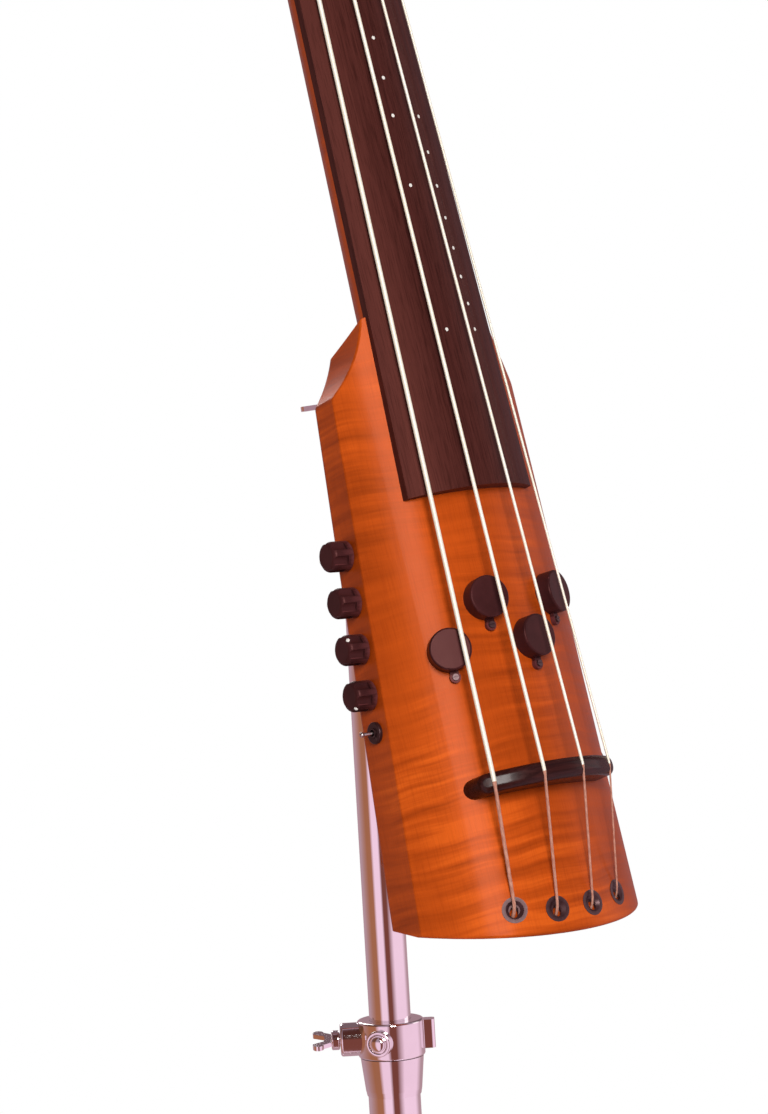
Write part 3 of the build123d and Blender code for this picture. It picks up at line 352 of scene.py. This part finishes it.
def silk_wrap():
    finish = Finish("silk_wrap", {"Sheen Weight": 0.35, "Sheen Roughness": 0.4, "IOR": 1.45})
    threads = finish.wave(finish.place((1, 1, 1)), 900.0, distortion=0.6)
    fuzz = finish.noise(finish.place((900, 900, 260)), 3.0)
    base = finish.ramp(fuzz, [(0.3, (0.46, 0.165, 0.110)), (0.7, (0.74, 0.37, 0.27))])
    # painted shade: the base colour is darkened in the valleys between the silk threads
    valley_painted_shade = finish.ramp(threads, [(0.0, (0.6, 0.55, 0.5)), (0.5, (1.0, 1.0, 1.0))])
    finish.colour(finish.mix(0.7, base, valley_painted_shade, "MULTIPLY"))
    finish.roughness(fuzz, 0.5, 0.7)
    finish.bump(threads, 0.00006)
    return finish.material


def pearl_dot():
    finish = Finish("pearl_dot", {"Coat Weight": 0.4, "Coat Roughness": 0.15, "IOR": 1.53})
    swirl = finish.noise(finish.place((900, 900, 600)), 3.0, 0.5, 1.2)
    finish.colour(finish.ramp(swirl, [(0.3, (0.78, 0.74, 0.68)), (0.7, (0.96, 0.94, 0.90))]))
    finish.roughness(swirl, 0.2, 0.35)
    finish.bump(swirl, 0.00001)
    return finish.material


def foot_rubber():
    finish = Finish("foot_rubber", {"IOR": 1.52, "Sheen Weight": 0.08})
    cloud = finish.noise(finish.place((70, 70, 70), False), 4.0)
    grit = finish.noise(finish.place((1600, 1600, 1600), False), 2.0)
    finish.colour(finish.ramp(cloud, [(0.3, (0.014, 0.013, 0.013)), (0.75, (0.040, 0.037, 0.036))]))
    finish.roughness(cloud, 0.62, 0.82)
    finish.bump(grit, 0.00006)
    return finish.material


def solder_mask():
    finish = Finish("solder_mask", {"IOR": 1.5, "Coat Weight": 0.4, "Coat Roughness": 0.1})
    weave = finish.wave(finish.place((1, 1, 1)), 260.0, "X")
    tracks = finish.noise(finish.place((160, 160, 60)), 1.0)
    base = finish.ramp(tracks, [(0.46, (0.010, 0.085, 0.030)), (0.52, (0.024, 0.150, 0.055))])
    finish.colour(base)
    finish.roughness(tracks, 0.28, 0.40)
    finish.bump(weave, 0.00002)
    return finish.material


CHROME = plated_metal("bright_chrome", (0.89, 0.86, 0.87), (0.95, 0.92, 0.93), 0.02, 0.06)
BLACK_METAL = plated_metal("black_plate", (0.032, 0.012, 0.013), (0.070, 0.028, 0.030), 0.28, 0.42, 0.5)
STEEL = plated_metal("machined_steel", (0.42, 0.38, 0.36), (0.62, 0.58, 0.55), 0.22, 0.36)
CAN = plated_metal("battery_wrap", (0.05, 0.05, 0.07), (0.11, 0.11, 0.14), 0.30, 0.42, 0.3)
PLASTIC = moulded_plastic(
    "black_moulding", (0.030, 0.0085, 0.0090), (0.056, 0.0150, 0.0160), 0.30, 0.44, 0.00002
)
COVER = moulded_plastic("cover_moulding", (0.016, 0.012, 0.012), (0.030, 0.024, 0.023), 0.42, 0.58, 0.00008)
BODY_WOOD = flamed_maple("flamed_maple", 0.85)
NECK_WOOD = flamed_maple("plain_maple", 0.45)
EBONY = ebony()
WIRE = flat_wound_steel()
SILK = silk_wrap()
PEARL = pearl_dot()
RUBBER = foot_rubber()

SLOT_MATERIALS = {
    "maple": BODY_WOOD,
    "ebony": EBONY,
    "dot_inlay": PEARL,
    "black_plastic": PLASTIC,
    "black_hardware": BLACK_METAL,
    "plain_steel": STEEL,
    "string_steel": WIRE,
    "circuit_board": solder_mask(),
    "battery_can": CAN,
    "chrome": CHROME,
    "rubber": RUBBER,
}
NODE_MATERIALS = {"neck": NECK_WOOD, "bridge": bridge_wood(), "rear_cover": COVER}


def finish_nodes():
    for row in frame["record"]["subparts"]:
        node = row["node"]
        material = NODE_MATERIALS.get(node, SLOT_MATERIALS[row["material_slot"]])
        for material_slot in frame["nodes"][node].material_slots:
            material_slot.material = material


# ---- Edges of the CAD pieces, softened by a bevel modifier ----
EDGE_SEGMENTS = 2
EDGE_ANGLE = radians(40)
EDGE_SOFTENING = {
    "fingerboard": 0.0005,
    "nut": 0.0003,
    "mount_plate": 0.0005,
    "rear_cover": 0.0003,
    "mast_head": 0.0004,
    "tube_sleeve": 0.0004,
    "leg_hub": 0.0004,
    "tripod_collar": 0.0004,
}


def soften_edges():
    for node, width in EDGE_SOFTENING.items():
        bevel = frame["nodes"][node].modifiers.new("soft_edge", "BEVEL")
        bevel.width = width
        bevel.segments = EDGE_SEGMENTS
        bevel.limit_method = "ANGLE"
        bevel.angle_limit = EDGE_ANGLE


# ---- Building meshes ----
def new_piece(name, mesh_source, materials, body):
    mesh = bpy.data.meshes.new(name)
    mesh_source.to_mesh(mesh)
    mesh_source.free()
    for material in materials:
        mesh.materials.append(material)
    mesh.shade_smooth()
    piece = bpy.data.objects.new(name, mesh)
    bpy.context.collection.objects.link(piece)
    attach(piece, body)
    return piece


def tube(points, radii, sides, indices=None):
    """A closed round tube along points, with a radius, and if asked a material index, at each."""
    work = bmesh.new()
    rings = []
    across = Vector((1, 0, 0))
    for index, point in enumerate(points):
        before = points[max(index - 1, 0)]
        after = points[min(index + 1, len(points) - 1)]
        along = (after - before).normalized()
        across = (across - along * across.dot(along)).normalized()
        other = along.cross(across)
        ring = []
        for side in range(sides):
            turn = 2 * pi * side / sides
            ring.append(work.verts.new(point + radii[index] * (cos(turn) * across + sin(turn) * other)))
        rings.append(ring)
    for index in range(len(rings) - 1):
        for side in range(sides):
            following = (side + 1) % sides
            corners = (rings[index][side], rings[index][following])
            face = work.faces.new((*corners, rings[index + 1][following], rings[index + 1][side]))
            if indices:
                face.material_index = indices[index]
    work.faces.new(reversed(rings[0]))
    work.faces.new(rings[-1])
    return work


def lathe(place, profile, segments=48):
    """A turned solid about place's Z from (radius, height) points that start and end on the axis."""
    work = bmesh.new()
    rings = []
    for radius, height in profile:
        if radius == 0:
            rings.append([work.verts.new(place @ Vector((0, 0, height)))])
            continue
        ring = []
        for segment in range(segments):
            turn = 2 * pi * segment / segments
            ring.append(work.verts.new(place @ Vector((radius * cos(turn), radius * sin(turn), height))))
        rings.append(ring)
    for low, high in zip(rings, rings[1:]):
        for segment in range(segments):
            following = (segment + 1) % segments
            corners = [low[segment % len(low)], low[following % len(low)]]
            corners += [high[following % len(high)], high[segment % len(high)]]
            work.faces.new(list(dict.fromkeys(corners)))
    return work


def place_on(origin, axis, towards):
    """A place whose Z is axis and whose X leans towards a direction."""
    z = Vector(axis).normalized()
    x = (towards - z * towards.dot(z)).normalized()
    y = z.cross(x)
    turn = Matrix((x, y, z)).transposed().to_4x4()
    return Matrix.Translation(origin) @ turn


# ---- Strings ----
def arc_drop(radius, x):
    return radius - sqrt(radius * radius - x * x)


def rounded(points, reach):
    """The same line with each inner corner eased over a short reach."""
    eased = [points[0]]
    for before, corner, after in zip(points, points[1:], points[2:]):
        start = corner + (before - corner).normalized() * reach
        end = corner + (after - corner).normalized() * reach
        for step in range(CORNER_STEPS + 1):
            share = step / CORNER_STEPS
            eased.append(start.lerp(corner, share).lerp(corner.lerp(end, share), share))
    eased.append(points[-1])
    return eased


def inward(name):
    """From a string's post to the middle: along X, because lean and head tilt both turn about X."""
    return Vector((-1 if STRING_STEPS[name] > 0 else 1, 0, 0))


def string_points(name):
    """Where a string bends: post, nut, bridge and body, and its end inside the body."""
    step = STRING_STEPS[name]
    post = Vector(joints[f"post_{name}_turn"]["pos_m"])
    forward = Vector(joints[f"post_{name}_turn"]["axis"])
    beside_post = inward(name) * (POST_RADIUS + STRING_RADII[name] + POST_GAP)
    start = post + forward * STRING_ABOVE_BACK + beside_post
    nut_x = step * NUT_SPACING
    nut_y = arc_drop(NUT_ARC, nut_x) - arc_drop(NUT_ARC, NUT_SPACING / 2)
    nut = Vector((nut_x, nut_y, SCALE_LENGTH + NUT_THICK / 2))
    bridge_x = step * BRIDGE_SPACING
    bridge_y = arc_drop(BRIDGE_ARC, bridge_x) - arc_drop(BRIDGE_ARC, BRIDGE_SPACING / 2)
    bridge = Vector((bridge_x, bridge_y, 0))
    tail_z = -TAIL_DROP + TAIL_RISE * step * step
    tail_x = BODY_ARC * sin(step * TAIL_SPACING / BODY_ARC)
    tail_y = BODY_CROWN - BODY_CROWN_SLOPE * tail_z + arc_drop(BODY_ARC, tail_x)
    tail = Vector((tail_x, tail_y, tail_z)) - TAIL_INTO_BODY * TAIL_PROUD
    hidden = tail + TAIL_INTO_BODY * TAIL_HIDDEN
    return [start] + [INSTRUMENT @ point for point in (nut, bridge, tail, hidden)]


def divided(points, spacing):
    """The same line with extra points along its long runs."""
    line = [points[0]]
    for start, end in zip(points, points[1:]):
        parts = max(1, int((end - start).length / spacing))
        line += [start.lerp(end, part / parts) for part in range(1, parts + 1)]
    return line


def string_wire(name):
    """One string from its post to its ferrule: silk at both ends and polished winding between."""
    radius = STRING_RADII[name]
    line = divided(rounded(string_points(name), CORNER_REACH), POINT_SPACING)
    radii = []
    for point in line:
        height = (TO_INSTRUMENT @ point).z
        if height < 0:
            radii.append(radius * (SILK_SHARE + (1 - SILK_SHARE) * max(0.0, 1 + height / SILK_TAPER)))
        elif height > SCALE_LENGTH + NUT_THICK:
            radii.append(radius * HEAD_SHARE)
        else:
            radii.append(radius)
    indices = []
    for start, end in zip(line, line[1:]):
        height = (TO_INSTRUMENT @ ((start + end) / 2)).z
        indices.append(0 if WINDING_FROM < height < WINDING_TO else 1)
    mesh = tube(line, radii, WIRE_SIDES, indices)
    piece = new_piece(f"wire_{name}", mesh, (WIRE, SILK), "instrument")
    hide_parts(f"string_{name}")


def helix(place, radius, turns, rise, steps=28):
    points = []
    for step in range(int(turns * steps) + 1):
        turn = 2 * pi * step / steps
        points.append(place @ Vector((radius * cos(turn), radius * sin(turn), rise * step / steps)))
    return points


def post_turns(name):
    """The string's last turns round its post."""
    joint = joints[f"post_{name}_turn"]
    radius = HEAD_SHARE * STRING_RADII[name]
    forward = Vector(joint["axis"])
    place = place_on(Vector(joint["pos_m"]) + forward * STRING_ABOVE_BACK, forward, inward(name))
    line = helix(place, POST_RADIUS + radius + POST_GAP, POST_TURNS, -TURN_PITCH * radius)
    mesh = tube(line, [radius] * len(line), TURN_SIDES)
    new_piece(f"turns_{name}", mesh, (SILK,), f"post_{name}")


# ---- Tuner details ----
def worm_thread(name):
    """The thread round a key's worm."""
    joint = joints[f"key_{name}_turn"]
    place = place_on(Vector(joint["pos_m"]), joint["axis"], Vector((0, 0, 1)))
    place = place @ Matrix.Translation((0, 0, -WORM_HALF))
    line = helix(place, WORM_RADIUS, WORM_TURNS, 2 * WORM_HALF / WORM_TURNS)
    mesh = tube(line, [WORM_WIRE] * len(line), WORM_SIDES)
    new_piece(f"worm_{name}", mesh, (BLACK_METAL,), f"key_{name}")


def wheel_teeth(name):
    """A toothed rim on the post's wheel."""
    joint = joints[f"post_{name}_turn"]
    place = place_on(Vector(joint["pos_m"]), joint["axis"], Vector((0, 0, 1)))
    place = place @ Matrix.Translation((0, 0, -WHEEL_BEHIND))
    work = bmesh.new()
    loops = []
    for height in (-WHEEL_HALF_THICK, WHEEL_HALF_THICK):
        for base in (WHEEL_RADIUS - WHEEL_RIM, WHEEL_RADIUS):
            ring = []
            for step in range(4 * WHEEL_TEETH):
                turn = 2 * pi * step / (4 * WHEEL_TEETH)
                tooth = WHEEL_TOOTH if step % 4 in (1, 2) and base == WHEEL_RADIUS else 0.0
                across = (base + tooth) * cos(turn)
                up = (base + tooth) * sin(turn)
                ring.append(work.verts.new(place @ Vector((across, up, height))))
            loops.append(ring)
    order = (loops[0], loops[1], loops[3], loops[2], loops[0])
    for first, second in zip(order, order[1:]):
        for step in range(len(first)):
            following = (step + 1) % len(first)
            work.faces.new((first[step], first[following], second[following], second[step]))
    bmesh.ops.recalc_face_normals(work, faces=work.faces)
    piece = new_piece(f"wheel_teeth_{name}", work, (STEEL,), f"post_{name}")
    piece.data.shade_flat()


# ---- Knob dots ----
def knob_dot(name, turn):
    """A raised white pointer dot near the rim of the knob's top."""
    joint = joints[f"{name}_turn"]
    place = place_on(Vector(joint["pos_m"]), joint["axis"], INSTRUMENT.to_3x3() @ Vector((0, 0, 1)))
    place = place @ Matrix.Rotation(radians(turn), 4, "Z")
    place = place @ Matrix.Translation((KNOB_DOT_OUT, 0, KNOB_TALL - KNOB_DOT_DOWN))
    place = place @ Matrix.Rotation(KNOB_DOT_TILT, 4, "Y") @ Matrix.Translation((0, 0, -KNOB_DOT_SUNK))
    profile = [(share * KNOB_DOT_RADIUS, height) for share, height in KNOB_DOT_PROFILE]
    new_piece(f"dot_{name}", lathe(place, profile, KNOB_DOT_SIDES), (PEARL,), name)


# ---- Stand ----
def stop_bolt_cap():
    """A domed cap over the socket of the height clamp's stop bolt."""
    origin = Vector(joints["mast_turn"]["pos_m"]) + Vector((0, 0, STOP_BOLT_RISE))
    place = place_on(origin, (cos(STOP_BOLT_TURN), sin(STOP_BOLT_TURN), 0), Vector((0, 0, 1)))
    new_piece("stop_bolt_cap", lathe(place, STOP_CAP_PROFILE), (CHROME,), "clamp")


def foot_ribs(index):
    """Moulded rings round a rubber foot, square to the opened leg."""
    joint = joints[f"leg_{index}_fold"]
    eye = Vector(joint["pos_m"])
    swing = Vector(joint["axis"])
    outwards = swing.cross(Vector((0, 0, 1))).normalized()
    down_leg = (outwards * sin(LEG_ANGLE) - Vector((0, 0, cos(LEG_ANGLE)))).normalized()
    place = place_on(eye + down_leg * LEG_LENGTH, -down_leg, swing)
    work = bmesh.new()
    for height in FOOT_RIBS:
        line = helix(place @ Matrix.Translation((0, 0, height)), FOOT_RADIUS, 1, 0.0, FOOT_RIB_STEPS)[:-1]
        add_ring(work, line, place.to_3x3() @ Vector((0, 0, 1)), place @ Vector((0, 0, height)))
    new_piece(f"foot_ribs_{index}", work, (RUBBER,), f"leg_{index}")


def add_ring(work, line, axis, middle):
    """A closed round ring through line, added to a mesh."""
    loops = []
    for point in line:
        outwards = (point - middle).normalized()
        loop = []
        for side in range(FOOT_RIB_SIDES):
            turn = 2 * pi * side / FOOT_RIB_SIDES
            loop.append(work.verts.new(point + FOOT_RIB_RADIUS * (cos(turn) * outwards + sin(turn) * axis)))
        loops.append(loop)
    for first, second in zip(loops, loops[1:] + loops[:1]):
        for side in range(FOOT_RIB_SIDES):
            following = (side + 1) % FOOT_RIB_SIDES
            work.faces.new((first[side], second[side], second[following], first[following]))


# ---- Studio ----
CAMERA_LENS = 141.3
CAMERA_SENSOR = 36.0
CAMERA_REACH = 100.0
CAMERA_PLACE = Vector((-1.532, -2.232, 1.060))
CAMERA_RIGHT = Vector((0.80641, -0.58850, -0.05815))
CAMERA_UP = Vector((0.09276, 0.02878, 0.99528))
CAMERA_BACK = Vector((-0.58404, -0.80800, 0.07779))
FLOOR_COLOUR = (0.86, 0.85, 0.84, 1)
FLOOR_HALF = 2.0
FLOOR_FADE = (0.9, 1.9)
SURROUND_LIGHT = 0.24
SURROUND_WHITE = (1.0, 0.97, 0.96, 1)
SURROUND_DIM = {"From Min": 0.10, "From Max": 0.32, "To Min": 1.0, "To Max": 0.4}
PANEL = (0.91, 0.63, 0.78)
MAUVE = (0.46, 0.29, 0.33)
BROWN = (0.19, 0.055, 0.042)
GOLD = (0.37, 0.140, 0.075)
SURROUND_PANELS = [
    (0.0, GOLD),
    (0.04, PANEL),
    (0.115, PANEL),
    (0.145, BROWN),
    (0.20, BROWN),
    (0.275, PANEL),
    (0.44, PANEL),
    (0.52, MAUVE),
    (0.78, MAUVE),
    (0.93, GOLD),
    (1.0, GOLD),
]
LIGHT_TARGET = (0.0, -0.2, 0.95)
SOFT_LIGHTS = (
    ("key", (-1.35, -2.9, 2.2), 1.0, 1.5, 98.0, (1.0, 0.97, 0.95)),
    ("fill", (2.6, -1.2, 1.6), 1.6, 1.6, 5.0, (1.0, 0.96, 0.94)),
    ("back", (0.9, 2.6, 2.2), 1.4, 1.4, 26.0, (1.0, 0.98, 0.96)),
)


def camera():
    data = bpy.data.cameras.new("camera")
    data.lens = CAMERA_LENS
    data.sensor_width = CAMERA_SENSOR
    data.clip_end = CAMERA_REACH
    made = bpy.data.objects.new("camera", data)
    bpy.context.collection.objects.link(made)
    turn = Matrix((CAMERA_RIGHT, CAMERA_UP, CAMERA_BACK)).transposed().to_4x4()
    made.matrix_world = Matrix.Translation(CAMERA_PLACE) @ turn
    bpy.context.scene.camera = made


def soft_light(name, place, width, height, power, colour):
    data = bpy.data.lights.new(name, "AREA")
    data.shape = "RECTANGLE"
    data.size = width
    data.size_y = height
    data.energy = power
    data.color = colour
    made = bpy.data.objects.new(name, data)
    bpy.context.collection.objects.link(made)
    made.location = place
    made.rotation_mode = "QUATERNION"
    made.rotation_quaternion = (Vector(LIGHT_TARGET) - Vector(place)).to_track_quat("-Z", "Y")


def studio_world():
    """White where it is seen; where it is reflected, panels with darker gaps that dim overhead."""
    world = bpy.data.worlds.new("studio")
    bpy.context.scene.world = world
    world.use_nodes = True
    nodes = world.node_tree.nodes
    links = world.node_tree.links
    nodes.clear()
    seen, soft, mirrored = (nodes.new("ShaderNodeBackground") for _ in range(3))
    seen.inputs["Color"].default_value = (1, 1, 1, 1)
    soft.inputs["Color"].default_value = SURROUND_WHITE
    soft.inputs["Strength"].default_value = SURROUND_LIGHT
    spot = nodes.new("ShaderNodeTexCoord").outputs["Generated"]
    spin = nodes.new("ShaderNodeTexGradient")
    spin.gradient_type = "RADIAL"
    links.new(spot, spin.inputs["Vector"])
    ramp = nodes.new("ShaderNodeValToRGB")
    fill_ramp(ramp, SURROUND_PANELS)
    links.new(spin.outputs["Fac"], ramp.inputs["Fac"])
    links.new(ramp.outputs["Color"], mirrored.inputs["Color"])
    height = nodes.new("ShaderNodeSeparateXYZ")
    links.new(spot, height.inputs["Vector"])
    dim = nodes.new("ShaderNodeMapRange")
    for label, value in SURROUND_DIM.items():
        dim.inputs[label].default_value = value
    links.new(height.outputs["Z"], dim.inputs["Value"])
    links.new(dim.outputs["Result"], mirrored.inputs["Strength"])
    path = nodes.new("ShaderNodeLightPath")
    shiny = nodes.new("ShaderNodeMixShader")
    mixed = nodes.new("ShaderNodeMixShader")
    links.new(path.outputs["Is Glossy Ray"], shiny.inputs["Fac"])
    links.new(soft.outputs["Background"], shiny.inputs[1])
    links.new(mirrored.outputs["Background"], shiny.inputs[2])
    links.new(path.outputs["Is Camera Ray"], mixed.inputs["Fac"])
    links.new(shiny.outputs["Shader"], mixed.inputs[1])
    links.new(seen.outputs["Background"], mixed.inputs[2])
    links.new(mixed.outputs["Shader"], nodes.new("ShaderNodeOutputWorld").inputs["Surface"])


def floor():
    """A pale floor that fades into the white surround a step away from the stand."""
    work = bmesh.new()
    corners = [(-1, -1), (1, -1), (1, 1), (-1, 1)]
    work.faces.new([work.verts.new((FLOOR_HALF * x, FLOOR_HALF * y, 0)) for x, y in corners])
    mesh = bpy.data.meshes.new("floor")
    work.to_mesh(mesh)
    work.free()
    made = bpy.data.objects.new("floor", mesh)
    bpy.context.collection.objects.link(made)
    made.visible_glossy = False
    finish = Finish("pale_floor", {"Base Color": FLOOR_COLOUR, "Roughness": 0.7})
    spot = finish.place((1, 1, 1), False)
    distance = finish.node("ShaderNodeVectorMath", {"operation": "LENGTH"}, {"Vector": spot}).outputs["Value"]
    mixed = finish.node("ShaderNodeMixShader", None, {"Fac": finish.between(distance, *FLOOR_FADE)})
    clear = finish.node("ShaderNodeBsdfTransparent").outputs["BSDF"]
    finish.tree.links.new(finish.shader.outputs["BSDF"], mixed.inputs[1])
    finish.tree.links.new(clear, mixed.inputs[2])
    finish.tree.links.new(mixed.outputs["Shader"], finish.tree.nodes["Material Output"].inputs["Surface"])
    mesh.materials.append(finish.material)


def studio():
    bpy.context.scene.view_settings.view_transform = "Standard"
    camera()
    studio_world()
    floor()
    for light in SOFT_LIGHTS:
        soft_light(*light)


# ---- Assembly ----
finish_nodes()
soften_edges()
for string_name in STRINGS:
    string_wire(string_name)
    post_turns(string_name)
    worm_thread(string_name)
    wheel_teeth(string_name)
for knob_name, dot_turn in KNOB_DOT_TURNS.items():
    knob_dot(knob_name, dot_turn)
stop_bolt_cap()
for leg_index in (1, 2, 3):
    foot_ribs(leg_index)
studio()
